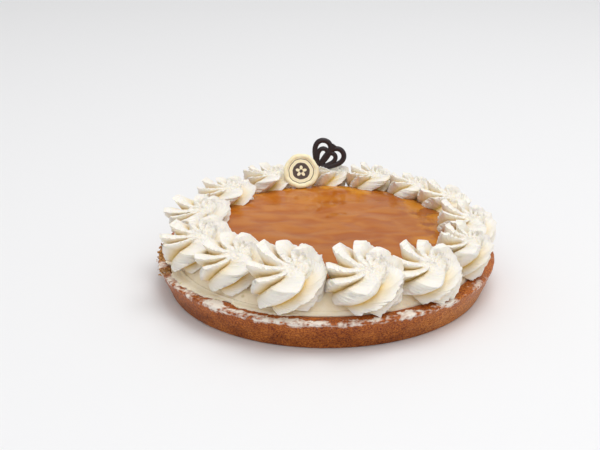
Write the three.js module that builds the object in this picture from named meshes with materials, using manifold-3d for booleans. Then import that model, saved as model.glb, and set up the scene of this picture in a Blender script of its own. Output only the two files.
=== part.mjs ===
// An apricot tart: a flared baked crust holding a mound of custard cream, a glazed apricot
// layer on the mound, a ring of piped cream rosettes on its shoulder, a white chocolate
// medallion and a dark chocolate filigree. Millimetres, +Z up, the origin at the middle of
// the underside, and -Y the side that faces the viewer.
import * as THREE from "three";
import { mergeVertices } from "three/addons/utils/BufferGeometryUtils.js";
import { ParametricGeometry } from "three/addons/geometries/ParametricGeometry.js";
import Module from "manifold-3d";

const wasm = await Module();
wasm.setup();

// Clearance left between pieces that touch, and the overlap used where solids are joined.
const GAP = 0.3;
const JOIN = 0.6;

// Crust: a shallow flared case.
const RIM_RADIUS = 140;
const BASE_RADIUS = 130;
const CRUST_HEIGHT = 25;
const WALL = 13;
const FLOOR = 5;
const FLOOR_RADIUS = 120;
const CRUST_SEGMENTS = 64;
const EDGE_ROUND = 1.5;
const RIM_SHOULDER = 3;
const WALL_BOW = 0.3;
const RIM_WAVE = 0.5;
// A piece of the rim has broken off on the left side.
const CHIP_ANGLE = 190;
const CHIP_SPREAD = 12;
const CHIP_DEPTH = 3;
const CHIP_REACH = 5;

// Custard cream: fills the crust and rises above it in a flat-topped mound, higher at the back.
const MOUND_HEIGHT = 44.5;
const MOUND_RADIUS = RIM_RADIUS - WALL;
const MOUND_EDGE = CRUST_HEIGHT - GAP;
const MOUND_POWER = 9;
const MOUND_TILT = 0.03;
const MOUND_SEGMENTS = 48;
const MOUND_RINGS = [0, 0.6, 0.77, 0.87, 0.94, 1];

// Apricot layer: a thin glazed sheet with a wandering edge on top of the mound.
const APRICOT_THICKNESS = 2.6;
const APRICOT_RADIUS = 108;
const APRICOT_WANDER = 3;
const APRICOT_SEGMENTS = 38;
const APRICOT_RINGS = [0, 0.36, 0.62, 0.82, 0.95, 1];
const APRICOT_FOOT = 0.97;
const APRICOT_BLANK_DEPTH = 6;
const DIMPLE_DEPTH = 0.7;
const DIMPLE_ACROSS = 9;
const DIMPLE_ALONG = 17;
const DIMPLE_FREE = 30;
// A tongue of apricot runs out under the rosette at the front.
const TONGUE_ANGLE = 252;
const TONGUE_SPREAD = 11;
const TONGUE_REACH = 12;

// Rosettes: star-nozzle swirls in a ring that sits a little right of the middle.
const RING_CENTRE = new THREE.Vector2(5, 0);
const RING_RADIUS = 108;
const POINTS_PER_FIN = 4;
// Share of a fin's breadth that its broad side takes; the rest is its steep side.
const BROAD_SIDE = 0.75;
const FIN_LEAN = 3;
// The fins stand closest opposite this bearing.
const OPEN_BEARING = 45;
const FIN_CROWDING = 13.75;
// Fins that start soon after this bearing wind the furthest round, and each one after that winds
// less, down to the least share of the full curl.
const CURL_START = 200;
const CURL_ONSET = [0.02, 0.17];
const LEAST_CURL = 0.26;
// Fins are thick and blunt on one side. Towards this bearing they turn thin and hollow, with deeper
// grooves, and step in as they rise.
const HOLLOW_BEARING = 330;
const TREAD_BULGE = 1.9;
const HOLLOW_TREAD = 1.1;
const GROOVE_FILL = 0.25;
const GROOVE_INWARD = 0.08;
const GROOVE_DOWN = 0.08;
const STEP_IN = 0.17;
const STEP_DOWN = 0.1;
// How high up a fin, as shares of the way from the hem to the top, these come in and die out.
const FILL_FADE = [0.2, 0.6];
const DEEP_RISE = [0.05, 0.25];
const DEEP_FADE = [0.6, 0.9];
const STEP_RISE = [0.2, 0.45];
const STEP_FADE = [0.55, 0.75];
// The fins on this side are a little lower than the rest.
const LOW_BEARING = 160;
const LOW_SHARE = 0.08;
const LOW_FADE = [0.6, 0.95];
// The middle of the top lies beside the middle of the foot, and the outer tips hang a little.
const WHORL_SHIFT = new THREE.Vector2(4.5, 1.5);
const WHORL_FREE = 0.15;
const DROOP = 2;
const DROOP_FREE = 0.4;
// Each rosette leans outwards, and all of them lean the way the baker stood.
const OUTWARD_LEAN = 8;
const BAKER_LEAN = 12;
const BAKER_BEARING = -55;
const SQUEEZE = 4;
// Low on the tart the fins stop at the rim; above this height they may lean out over it.
const LEAN_OUT_HEIGHT = 28;
const LEAN_OUT = 0.3;
// Each rosette: bearing round the ring in degrees, reach of its fins, height, how far it sits
// outside the ring's radius, the turn of its first fin in degrees and the number of its fins.
const ROSETTES = [
  { bearing: 120.8, reach: 22.4, height: 22.8, out: 7.7, spin: 10, fins: 8 },
  { bearing: 91.6, reach: 17, height: 20.5, out: 3.6, spin: 0, fins: 8 },
  { bearing: 71.6, reach: 20.8, height: 19, out: -1, spin: 24, fins: 8 },
  { bearing: 50.5, reach: 21, height: 18.5, out: 0, spin: 6, fins: 6 },
  { bearing: 30.5, reach: 23, height: 20.5, out: 4, spin: 31, fins: 6 },
  { bearing: -0.5, reach: 25, height: 21.5, out: 0, spin: 15, fins: 8 },
  { bearing: -27, reach: 22.8, height: 27, out: 3.5, spin: 12, fins: 8 },
  { bearing: -52, reach: 27, height: 21, out: 3.3, spin: 14, fins: 8 },
  { bearing: -78, reach: 29.8, height: 23.2, out: 0, spin: 11, fins: 8 },
  { bearing: -107.6, reach: 28.8, height: 24.8, out: 4.5, spin: 11, fins: 8 },
  { bearing: -133.8, reach: 26.8, height: 21.7, out: 2.1, spin: 18, fins: 8 },
  { bearing: -158.8, reach: 27.7, height: 22.8, out: 7.1, spin: 12, fins: 8 },
  { bearing: 173, reach: 27.1, height: 19.5, out: 5, spin: 4, fins: 8 },
  { bearing: 146, reach: 25.4, height: 20, out: 5, spin: 18, fins: 8 },
];

// Medallion: a cast disc with a soft uneven outline, leaning back between two rosettes.
const MEDALLION_RADIUS = 15.9;
const MEDALLION_THICKNESS = 3;
const MEDALLION_LIP = 3;
const MEDALLION_SINK = 0.8;
const MEDALLION_ROUND = 0.9;
const MEDALLION_WAVE = 0.6;
const MEDALLION_SEGMENTS = 28;
const MEDALLION_FOOT = new THREE.Vector2(-22.3, 86.5);
const MEDALLION_LEAN = 31;

// Filigree: a moulded fan of two leaves of nested loops and a spine, on one stem.
const STRAND_FLATNESS = 0.6;
const STRAND_CURVE_SEGMENTS = 3;
const LOOP_POINTS = 13;
const STEM_SIDES = 8;
const STEM_FOOT = new THREE.Vector3(-7.5, 112, 45);
const STEM_LENGTH = 14.5;
const STEM_RADIUS = 2.2;
const FILIGREE_LEAN = 6;
const SPINE = { heading: 53.5, length: 26.8, strand: 2.5 };
// Each loop: heading in degrees from the horizontal, length, half its breadth, half the width of
// its strand and steps along it.
const LOOPS = [
  { heading: 75, length: 26.6, breadth: 7.2, strand: 2.5, steps: 15 },
  { heading: 70, length: 19.2, breadth: 4.4, strand: 2.2, steps: 11 },
  { heading: 33, length: 27.6, breadth: 7.2, strand: 2.5, steps: 15 },
  { heading: 38, length: 20, breadth: 4.4, strand: 2.2, steps: 11 },
];
// The loops are slim near the stem and full towards their ends.
const LOOP_FULLNESS = 1.4;
const LOOP_TAPER = 1.5;

const rad = THREE.MathUtils.degToRad;
const smooth = THREE.MathUtils.smoothstep;

// A closed mesh as a solid that can be joined and cut.
function solidOf(geometry) {
  const bare = geometry.clone();
  bare.deleteAttribute("normal");
  bare.deleteAttribute("uv");
  const merged = mergeVertices(bare, 1e-4);
  const mesh = new wasm.Mesh({
    numProp: 3,
    vertProperties: new Float32Array(merged.attributes.position.array),
    triVerts: new Uint32Array(merged.index.array),
  });
  return new wasm.Manifold(mesh);
}

// The largest body of a solid as a three.js geometry; scraps a cut leaves loose are dropped.
function geometryOf(solid) {
  const bodies = solid.decompose();
  bodies.sort((a, b) => b.volume() - a.volume());
  const mesh = bodies[0].getMesh();
  const geometry = new THREE.BufferGeometry();
  geometry.setAttribute("position", new THREE.BufferAttribute(mesh.vertProperties, 3));
  geometry.setIndex(new THREE.BufferAttribute(mesh.triVerts, 1));
  geometry.computeVertexNormals();
  return geometry;
}

// Moves every vertex of a geometry by a function of its position.
function reshape(geometry, move) {
  const position = geometry.attributes.position;
  const point = new THREE.Vector3();
  for (let i = 0; i < position.count; i += 1) {
    point.fromBufferAttribute(position, i);
    move(point);
    position.setXYZ(i, point.x, point.y, point.z);
  }
  return geometry;
}

// A profile of [radius, height] pairs turned about the vertical axis.
function turned(profile, segments) {
  const points = profile.map(([r, z]) => new THREE.Vector2(r, z));
  return new THREE.LatheGeometry(points, segments).rotateX(Math.PI / 2);
}

// The uneven hand of the baker: a slow wave round the tart, between -1 and 1.
function wander(angle, phase) {
  const slow = Math.sin(3 * angle + phase);
  const middling = Math.sin(7 * angle + 2.3 * phase);
  const quick = Math.sin(13 * angle + 4.1 * phase);
  return 0.5 * slow + 0.3 * middling + 0.2 * quick;
}

// A soft bump round the tart, 1 at its own bearing and 0 a spread away, all in degrees.
function bump(angle, bearing, spread) {
  const degrees = THREE.MathUtils.euclideanModulo(THREE.MathUtils.radToDeg(angle), 360);
  return 1 - smooth(Math.abs(degrees - bearing), 0.4 * spread, spread);
}

function crustSolid() {
  const rim = CRUST_HEIGHT;
  const bow = (BASE_RADIUS + RIM_RADIUS) / 2 + WALL_BOW;
  const profile = [
    [0, 0],
    [BASE_RADIUS - EDGE_ROUND, 0],
    [BASE_RADIUS, EDGE_ROUND],
    [bow, rim / 2],
    [RIM_RADIUS - WALL_BOW, rim - RIM_SHOULDER],
    [RIM_RADIUS, rim - EDGE_ROUND],
    [RIM_RADIUS - EDGE_ROUND, rim],
    [RIM_RADIUS - WALL + EDGE_ROUND, rim],
    [RIM_RADIUS - WALL, rim - EDGE_ROUND],
    [FLOOR_RADIUS, FLOOR],
    [0, FLOOR],
  ];
  const geometry = turned(profile, CRUST_SEGMENTS);
  reshape(geometry, (p) => {
    const angle = Math.atan2(p.y, p.x);
    p.z += RIM_WAVE * smooth(p.z, rim - EDGE_ROUND, rim) * wander(angle, 1.7);
    p.z -= CHIP_DEPTH * smooth(p.z, rim - CHIP_REACH, rim) * bump(angle, CHIP_ANGLE, CHIP_SPREAD);
  });
  return solidOf(geometry);
}

// Height of the custard's surface at a distance from the middle and an angle.
function moundTop(r, angle) {
  const crown = MOUND_HEIGHT - MOUND_EDGE + MOUND_TILT * r * Math.sin(angle);
  return MOUND_EDGE + crown * (1 - (r / MOUND_RADIUS) ** MOUND_POWER);
}

function custardSolid(clearance) {
  const outer = MOUND_RADIUS - clearance;
  const bottom = FLOOR + GAP;
  const profile = [
    [0, bottom],
    [FLOOR_RADIUS - clearance, bottom],
  ];
  for (const share of [...MOUND_RINGS].reverse()) {
    profile.push([share * outer, MOUND_EDGE]);
  }
  const geometry = turned(profile, MOUND_SEGMENTS);
  reshape(geometry, (p) => {
    const r = (Math.hypot(p.x, p.y) * MOUND_RADIUS) / outer;
    p.z = p.z > bottom + GAP ? moundTop(r, Math.atan2(p.y, p.x)) : bottom;
  });
  return solidOf(geometry);
}

// Radius of the apricot layer's edge at an angle.
function apricotEdge(angle) {
  const tongue = TONGUE_REACH * bump(angle, TONGUE_ANGLE, TONGUE_SPREAD);
  return APRICOT_RADIUS + APRICOT_WANDER * wander(angle, 0.6) + tongue;
}

// Height of the apricot layer's surface, which thins to nothing at its edge.
function apricotTop(r, angle) {
  const share = Math.min(1, r / apricotEdge(angle));
  const body = APRICOT_THICKNESS * Math.sqrt(1 - share ** 10);
  const across = Math.sin(r / DIMPLE_ACROSS + 3 * angle);
  const along = Math.cos(r / DIMPLE_ALONG + 2 * angle);
  const dimples = DIMPLE_DEPTH * across * along * (1 - share ** 4) * smooth(r, 0, DIMPLE_FREE);
  return moundTop(r, angle) + body + dimples;
}

// The apricot layer before it is fitted to the custard under it.
function apricotBlank(grow) {
  const profile = [
    [0, -1],
    [APRICOT_FOOT, -1],
  ];
  for (const share of [...APRICOT_RINGS].reverse()) {
    profile.push([share, 1]);
  }
  const geometry = turned(profile, APRICOT_SEGMENTS);
  reshape(geometry, (p) => {
    const angle = Math.atan2(p.y, p.x);
    const r = Math.hypot(p.x, p.y) * (apricotEdge(angle) + grow);
    const height = p.z > 0 ? apricotTop(r, angle) : moundTop(r, angle) - APRICOT_BLANK_DEPTH;
    p.set(r * Math.cos(angle), r * Math.sin(angle), height);
  });
  return solidOf(geometry);
}

// Stations of a rosette from the middle of the foot out to the hem, up and in to the middle of
// the top: where the fins and the grooves between them lie, outwards and upwards, as shares of
// its reach and height, and how far the nozzle had turned in degrees.
const STATIONS = [
  { fin: [0, -0.45], groove: [0, -0.45], turn: 0 },
  { fin: [1, -0.03], groove: [0.62, 0.02], turn: 0 },
  { fin: [1.05, 0.28], groove: [0.64, 0.17], turn: 37 },
  { fin: [1.04, 0.65], groove: [0.62, 0.37], turn: 73 },
  { fin: [0.96, 0.91], groove: [0.55, 0.53], turn: 106 },
  { fin: [0.76, 0.99], groove: [0.47, 0.68], turn: 135 },
  { fin: [0.54, 0.95], groove: [0.39, 0.79], turn: 153 },
  { fin: [0.33, 0.89], groove: [0.31, 0.85], turn: 162 },
  { fin: [0, 0.87], groove: [0, 0.87], turn: 165 },
];
const SWIRL_RINGS = STATIONS.length - 1;

// Share of the full curl that a fin starting at a bearing takes.
function curlAt(start) {
  const past = THREE.MathUtils.euclideanModulo(start - CURL_START, 360) / 360;
  return THREE.MathUtils.lerp(LEAST_CURL, 1, smooth(past, ...CURL_ONSET) * (1 - past));
}

// Where a fin and its groove lie at a station, for a fin whose tip has this bearing.
function finAt({ fin, groove }, above, tip) {
  const hollow = (1 + Math.cos(rad(tip - HOLLOW_BEARING))) / 2;
  const filled = (1 - hollow) * (1 - smooth(above, ...FILL_FADE));
  const deeper = hollow * smooth(above, ...DEEP_RISE) * (1 - smooth(above, ...DEEP_FADE));
  const stepped = hollow * smooth(above, ...STEP_RISE) * (1 - smooth(above, ...STEP_FADE));
  const side = Math.max(0, Math.cos(rad(tip - LOW_BEARING)));
  const low = LOW_SHARE * side ** 2 * (1 - smooth(above, ...LOW_FADE)) * fin[0];
  const widen = 1 + GROOVE_FILL * filled - GROOVE_INWARD * deeper;
  return {
    bulge: TREAD_BULGE - HOLLOW_TREAD * hollow,
    fin: [fin[0] - STEP_IN * stepped, fin[1] * (1 - low) - STEP_DOWN * stepped],
    groove: [groove[0] * widen, groove[1] - GROOVE_DOWN * deeper],
  };
}

// A swirl standing on the origin: u runs round it, v from the foot to the top.
function swirl({ bearing, reach, height, spin, fins }) {
  const place = (u, v, target) => {
    const station = STATIONS[Math.round(v * SWIRL_RINGS)];
    const above = Math.max(0, v * SWIRL_RINGS - 1) / (SWIRL_RINGS - 1);
    const column = Math.round(u * fins * POINTS_PER_FIN) / POINTS_PER_FIN;
    const first = Math.floor(column);
    const tip = (360 * (first + BROAD_SIDE)) / fins + spin;
    const { fin, groove, bulge } = finAt(station, above, tip);
    const half = 2 * (column - first);
    const edge = half < 1 ? 1 - (1 - half) ** bulge : 2 - half;
    const across = half < 1 ? BROAD_SIDE * half : 1 - (1 - BROAD_SIDE) * (2 - half);
    const out = reach * THREE.MathUtils.lerp(groove[0], fin[0], edge);
    const up = height * THREE.MathUtils.lerp(groove[1], fin[1], edge);
    const even = (360 * (first + across)) / fins + spin + FIN_LEAN * edge;
    const start = even + FIN_CROWDING * Math.sin(rad(even - OPEN_BEARING));
    const angle = rad(start + station.turn * curlAt(start));
    const inward = smooth(above, WHORL_FREE, 1);
    const outward = Math.max(0, Math.cos(angle - rad(bearing)));
    const hanging = DROOP * outward * (1 - smooth(above, 0, DROOP_FREE)) * edge * station.fin[0];
    const x = out * Math.cos(angle) + WHORL_SHIFT.x * inward;
    const y = out * Math.sin(angle) + WHORL_SHIFT.y * inward;
    target.set(x, y, up - hanging);
  };
  return new ParametricGeometry(place, fins * POINTS_PER_FIN, SWIRL_RINGS);
}

// The tilt of a rosette: the baker's lean and its own lean outwards, as one turn.
function tiltOf(bearing) {
  const own = new THREE.Vector3(Math.cos(bearing), Math.sin(bearing), 0).multiplyScalar(OUTWARD_LEAN);
  const stance = rad(BAKER_BEARING);
  const lean = new THREE.Vector3(Math.cos(stance), Math.sin(stance), 0).multiplyScalar(BAKER_LEAN).add(own);
  const axis = new THREE.Vector3(-lean.y, lean.x, 0).normalize();
  return new THREE.Matrix4().makeRotationAxis(axis, rad(lean.length()));
}

// Bearing of the plane that parts a rosette from its neighbour, shared by their reach.
function partingBearing(rosette, other) {
  let apart = THREE.MathUtils.euclideanModulo(other.bearing - rosette.bearing, 360);
  if (apart > 180) {
    apart -= 360;
  }
  return rad(rosette.bearing + (apart * rosette.reach) / (rosette.reach + other.reach));
}

// A distance that soft cream keeps from what it is pressed against: never less than nothing.
function squeezed(away) {
  return away > SQUEEZE ? away : SQUEEZE * Math.exp(away / SQUEEZE - 1);
}

// Where two rosettes crowd each other, their fins are pressed back to the parting plane.
function pressBack(point, parting, side) {
  const normal = new THREE.Vector2(Math.sin(parting), -Math.cos(parting)).multiplyScalar(side);
  const away = normal.x * (point.x - RING_CENTRE.x) + normal.y * (point.y - RING_CENTRE.y);
  const push = squeezed(away) + GAP / 2 - away;
  point.x += normal.x * push;
  point.y += normal.y * push;
}

function stopAtRim(point) {
  const limit = RIM_RADIUS - GAP + LEAN_OUT * Math.max(0, point.z - LEAN_OUT_HEIGHT);
  const r = Math.hypot(point.x, point.y);
  const share = (limit - squeezed(limit - r)) / r;
  point.x *= share;
  point.y *= share;
}

function rosetteSolid(index, keepouts) {
  const rosette = ROSETTES[index];
  const count = ROSETTES.length;
  const before = ROSETTES[(index + count - 1) % count];
  const after = ROSETTES[(index + 1) % count];
  const bearing = rad(rosette.bearing);
  const distance = RING_RADIUS + rosette.out;
  const x = RING_CENTRE.x + distance * Math.cos(bearing);
  const y = RING_CENTRE.y + distance * Math.sin(bearing);
  const seat = apricotTop(Math.hypot(x, y), Math.atan2(y, x));
  const geometry = swirl(rosette);
  geometry.applyMatrix4(tiltOf(bearing));
  geometry.translate(x, y, seat);
  reshape(geometry, (p) => {
    stopAtRim(p);
    pressBack(p, partingBearing(rosette, before), 1);
    pressBack(p, partingBearing(rosette, after), -1);
  });
  return keepouts.reduce((solid, keepout) => solid.subtract(keepout), solidOf(geometry));
}

function medallionSolid(grow) {
  const r = MEDALLION_RADIUS + grow;
  const back = -MEDALLION_THICKNESS / 2 - grow;
  const front = MEDALLION_THICKNESS / 2 + grow;
  const profile = [
    [0, back],
    [r - MEDALLION_ROUND, back],
    [r, back + MEDALLION_ROUND],
    [r, front - MEDALLION_ROUND],
    [r - MEDALLION_ROUND, front],
    [r - MEDALLION_LIP, front],
    [r - MEDALLION_LIP - MEDALLION_SINK, front - MEDALLION_SINK],
    [0, front - MEDALLION_SINK],
  ];
  const geometry = turned(profile, MEDALLION_SEGMENTS);
  reshape(geometry, (p) => {
    const stretch = 1 + (MEDALLION_WAVE / MEDALLION_RADIUS) * wander(Math.atan2(p.y, p.x), 2.9);
    p.x *= stretch;
    p.y *= stretch;
  });
  const foot = MEDALLION_FOOT;
  const seat = apricotTop(foot.length(), Math.atan2(foot.y, foot.x));
  geometry.translate(0, MEDALLION_RADIUS + MEDALLION_WAVE, 0);
  geometry.rotateX(rad(90 - MEDALLION_LEAN));
  geometry.translate(foot.x, foot.y, seat + 2 * GAP);
  return solidOf(geometry);
}

// Centre line of one piped loop: a teardrop that leaves the stem and comes back to it.
function loopLine({ heading, length, breadth }) {
  const points = [];
  for (let i = 0; i < LOOP_POINTS; i += 1) {
    const turn = (2 * Math.PI * (i + 0.5)) / LOOP_POINTS;
    const along = (length * (1 - Math.cos(turn))) / 2;
    const across = LOOP_FULLNESS * breadth * Math.sin(turn) * Math.sin(turn / 2) ** LOOP_TAPER;
    const angle = rad(heading);
    const u = along * Math.cos(angle) - across * Math.sin(angle);
    const v = along * Math.sin(angle) + across * Math.cos(angle);
    points.push(new THREE.Vector3(u, 0, v));
  }
  return new THREE.CatmullRomCurve3(points);
}

// A strand of flattened round section along a line.
function strandAlong(line, halfWidth, steps) {
  const section = new THREE.Shape();
  section.absellipse(0, 0, STRAND_FLATNESS * halfWidth, halfWidth, 0, 2 * Math.PI);
  const settings = { steps, extrudePath: line, bevelEnabled: false };
  return new THREE.ExtrudeGeometry(section, { ...settings, curveSegments: STRAND_CURVE_SEGMENTS });
}

function filigreeSolid(grow) {
  const length = STEM_LENGTH + grow;
  const stem = new THREE.CylinderGeometry(STEM_RADIUS + grow, STEM_RADIUS + grow, length, STEM_SIDES);
  stem.rotateX(Math.PI / 2).translate(0, 0, JOIN - length / 2);
  const knob = new THREE.SphereGeometry(STEM_RADIUS + JOIN + grow, STEM_SIDES, STEM_SIDES - 2);
  const heading = rad(SPINE.heading);
  const tip = new THREE.Vector3(Math.cos(heading), 0, Math.sin(heading)).multiplyScalar(SPINE.length);
  const spine = new THREE.LineCurve3(new THREE.Vector3(), tip);
  const pieces = [stem, knob, strandAlong(spine, SPINE.strand + grow, 1)];
  for (const loop of LOOPS) {
    pieces.push(strandAlong(loopLine(loop), loop.strand + grow, loop.steps));
  }
  for (const piece of pieces) {
    piece.rotateX(rad(-FILIGREE_LEAN));
    piece.translate(STEM_FOOT.x, STEM_FOOT.y, STEM_FOOT.z + STEM_LENGTH);
  }
  return pieces.map(solidOf).reduce((joined, piece) => joined.add(piece));
}

const lift = [0, 0, GAP];
const crust = crustSolid();
const custard = custardSolid(GAP);
const apricot = apricotBlank(0).subtract(custard.translate(lift));
const medallion = medallionSolid(0);
const filigree = filigreeSolid(0);
// Everything a rosette is cut clear of, each grown by the clearance.
const keepouts = [
  crust.translate(lift),
  custardSolid(-JOIN).translate(lift),
  apricotBlank(GAP).translate(lift),
  medallionSolid(GAP),
  filigreeSolid(GAP),
];

const tart = new THREE.Group();
tart.name = "apricot_tart";

function addNode(name, solid, color, roughness) {
  const material = new THREE.MeshStandardMaterial({ color, roughness, metalness: 0 });
  const mesh = new THREE.Mesh(geometryOf(solid), material);
  mesh.name = name;
  tart.add(mesh);
}

addNode("crust", crust, 0xb9854a, 0.8);
addNode("custard", custard, 0xe9e3c8, 0.6);
addNode("apricot", apricot, 0xb5651d, 0.15);
ROSETTES.forEach((rosette, index) => {
  const number = String(index + 1).padStart(2, "0");
  addNode(`rosette_${number}`, rosetteSolid(index, keepouts), 0xf6f0e2, 0.55);
});
addNode("medallion", medallion, 0xeadcab, 0.4);
addNode("filigree", filigree, 0x2e1f1c, 0.35);

export default tart;
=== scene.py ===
# %% [markdown]
# # Apricot tart with piped cream
# A baked crust holds a mound of custard under a glazed apricot layer. Piped cream rosettes ring its
# shoulder, with a white chocolate medallion and a dark chocolate filigree among them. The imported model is
# loaded first: it fixes every size and place, and each piece made here stands for one of its nodes with
# the finish and the fine relief of the real food. All lengths are metres.

# %% Load the frame
import math

import bmesh
import bpy
import numpy as np
from mathutils import Matrix, Vector, noise


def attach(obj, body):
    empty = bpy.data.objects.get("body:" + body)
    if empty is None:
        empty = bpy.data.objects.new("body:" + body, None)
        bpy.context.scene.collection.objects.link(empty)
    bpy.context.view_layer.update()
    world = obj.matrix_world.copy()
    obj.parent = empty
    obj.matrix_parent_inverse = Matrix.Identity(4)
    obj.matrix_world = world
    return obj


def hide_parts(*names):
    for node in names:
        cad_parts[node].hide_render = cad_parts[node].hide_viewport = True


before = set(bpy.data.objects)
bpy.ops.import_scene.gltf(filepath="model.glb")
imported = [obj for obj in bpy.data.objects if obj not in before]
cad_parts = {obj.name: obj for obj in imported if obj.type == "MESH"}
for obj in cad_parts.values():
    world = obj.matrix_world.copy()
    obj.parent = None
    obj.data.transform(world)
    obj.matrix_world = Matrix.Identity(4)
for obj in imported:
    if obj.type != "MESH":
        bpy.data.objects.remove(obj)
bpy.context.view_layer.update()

# %% [markdown]
# ## Camera
# The camera stands where the photographer stood: about 0.9 m from the tart and 23 degrees above the table.
# The photograph has the tart a little low and to the right of the middle, so the camera is turned by that
# many pixels instead of using lens shift.

# %% Camera
IMAGE_WIDTH = 600
IMAGE_HEIGHT = 450
SENSOR_WIDTH = 36.0
FOCAL_PIXELS = 1071.8
CAMERA_DISTANCE = 0.9
CAMERA_ELEVATION = math.radians(22.68)
AIM_POINT = Vector((0, 0, 0.025))
AIM_PIXEL = (325.7, 249.1)

scene = bpy.context.scene
camera_data = bpy.data.cameras.new("camera")
camera_data.sensor_width = SENSOR_WIDTH
camera_data.lens = FOCAL_PIXELS * SENSOR_WIDTH / IMAGE_WIDTH
camera = bpy.data.objects.new("camera", camera_data)
scene.collection.objects.link(camera)
bpy.context.scene.camera = camera

back_and_up = Vector((0, -math.cos(CAMERA_ELEVATION), math.sin(CAMERA_ELEVATION)))
camera.location = AIM_POINT + CAMERA_DISTANCE * back_and_up
straight = (-back_and_up).to_track_quat("-Z", "Y")
right = (AIM_PIXEL[0] - IMAGE_WIDTH / 2) / FOCAL_PIXELS
up = (IMAGE_HEIGHT / 2 - AIM_PIXEL[1]) / FOCAL_PIXELS
turn = Vector((right, up, -1)).rotation_difference(Vector((0, 0, -1)))
camera.rotation_mode = "QUATERNION"
camera.rotation_quaternion = straight @ turn
print("camera: lens", round(camera_data.lens, 1), "mm at", [round(c, 3) for c in camera.location])

# %% [markdown]
# ## Finishes: a few small tools
# Every finish is a tree of shader nodes. Colours are picked as sRGB hex values, as in any paint program,
# and one function turns them to the linear values that Blender mixes. Another adds one node, sets its
# options and joins its sockets, so that a finish reads as a list of what is laid over what.

# %% Tools for finishes
def linear(hex_colour):
    """An sRGB hex colour as linear red, green, blue and alpha."""
    channels = [int(hex_colour[i:i + 2], 16) / 255 for i in (1, 3, 5)]
    return [c / 12.92 if c <= 0.04045 else ((c + 0.055) / 1.055) ** 2.4 for c in channels] + [1.0]


def join(tree, node, inputs):
    """Gives a node's sockets values or links, where another node stands for its first output."""
    for socket, value in inputs.items():
        if isinstance(value, bpy.types.Node):
            value = value.outputs[0]
        if isinstance(value, bpy.types.NodeSocket):
            tree.links.new(value, node.inputs[socket])
        else:
            node.inputs[socket].default_value = value


def add(tree, kind, inputs, **options):
    """Adds one shader node of a kind with its options, socket values and links."""
    node = tree.nodes.new("ShaderNode" + kind)
    for option, value in options.items():
        setattr(node, option, value)
    join(tree, node, inputs)
    return node


def new_finish(name):
    """An empty finish: the material, its node tree and its main shader."""
    material = bpy.data.materials.new(name)
    material.use_nodes = True
    tree = material.node_tree
    print("finish:", name)
    return material, tree, tree.nodes["Principled BSDF"]


# %% [markdown]
# ## Stage
# The photograph was taken in a white studio tent: light comes from all round, a little more from above,
# and the table is as pale as the wall. A white world gives the even light, one wide lamp overhead the soft
# shadow under the rim, and a weaker one in front fills the shade.

# %% Light
TENT_HORIZON = 0.46
TENT_ZENITH = 0.76
SOFTBOX_SIZE = 1.6
# Place and power of each softbox.
SOFTBOXES = {
    "overhead_softbox": (Vector((0.5, 0.1, 2.3)), 23.5),
    "front_softbox": (Vector((0.2, -1.4, 1.3)), 5.2),
}

scene.view_settings.view_transform = "Standard"
world = bpy.data.worlds.new("white_tent")
scene.world = world
world.use_nodes = True
sky = world.node_tree
direction = add(sky, "TexCoord", {}).outputs["Generated"]
height = add(sky, "SeparateXYZ", {"Vector": direction}).outputs["Z"]
strength = add(sky, "MapRange", {"Value": height, "To Min": TENT_HORIZON, "To Max": TENT_ZENITH})
join(sky, sky.nodes["Background"], {"Color": linear("#FFFFFF"), "Strength": strength})

for name, (place, power) in SOFTBOXES.items():
    lamp_data = bpy.data.lights.new(name, "AREA")
    lamp_data.size = SOFTBOX_SIZE
    lamp_data.energy = power
    lamp = bpy.data.objects.new(name, lamp_data)
    lamp.location = place
    lamp.rotation_mode = "QUATERNION"
    lamp.rotation_quaternion = (AIM_POINT - place).to_track_quat("-Z", "Y")
    scene.collection.objects.link(lamp)
print("light:", len(SOFTBOXES), "softboxes in a white tent")

# %% [markdown]
# The floor is one wide square of matt paper, which isn't part of the tart.

# %% Floor
FLOOR_HALF = 4.0

table_paper, tree, shader = new_finish("matt_white_paper")
join(tree, shader, {"Base Color": linear("#EEEEEF"), "Roughness": 0.7})
bm = bmesh.new()
bmesh.ops.create_grid(bm, x_segments=1, y_segments=1, size=FLOOR_HALF)
floor_mesh = bpy.data.meshes.new("floor")
bm.to_mesh(floor_mesh)
bm.free()
floor_mesh.materials.append(table_paper)
floor = bpy.data.objects.new("floor", floor_mesh)
scene.collection.objects.link(floor)
print("floor:", 2 * FLOOR_HALF, "m wide")

# %% [markdown]
# ## Tools for food
# Baked and piped things are round but never regular. Each piece is turned or drawn as a clean shape first,
# then every vertex is moved by a rule: a slow wave round the tart for the baker's hand, and smooth noise
# for lumps of a known size. The rules work on all the vertices of a piece at once, as arrays.

# %% Rules for uneven shapes
def smooth(x, low, high):
    """0 below low, 1 above high and an even rise between them."""
    t = np.clip((x - low) / (high - low), 0, 1)
    return t * t * (3 - 2 * t)


def wander(angle, phase):
    """The uneven hand of the baker: a slow wave round the tart, between -1 and 1."""
    slow = np.sin(3 * angle + phase)
    middling = np.sin(7 * angle + 2.3 * phase)
    quick = np.sin(13 * angle + 4.1 * phase)
    return 0.5 * slow + 0.3 * middling + 0.2 * quick


def near(angle, bearing, spread):
    """1 at a bearing round the tart and 0 a spread away from it, both in degrees."""
    away = np.abs((np.degrees(angle) - bearing + 180) % 360 - 180)
    return 1 - smooth(away, 0.4 * spread, spread)


def lumps(points, size):
    """Smooth noise between about -1 and 1 at each point, with lumps of the given size."""
    return np.array([noise.fractal(Vector(p) / size, 1.0, 2.0, 2) for p in points])


# %% [markdown]
# A mesh is made in a bmesh, Blender's workbench for vertices, edges and faces. These tools read and move
# its vertices, store a number on each one for a finish to read, and turn a drawn outline into a round
# body.

# %% Tools for vertices
MERGE = 1e-6


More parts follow.
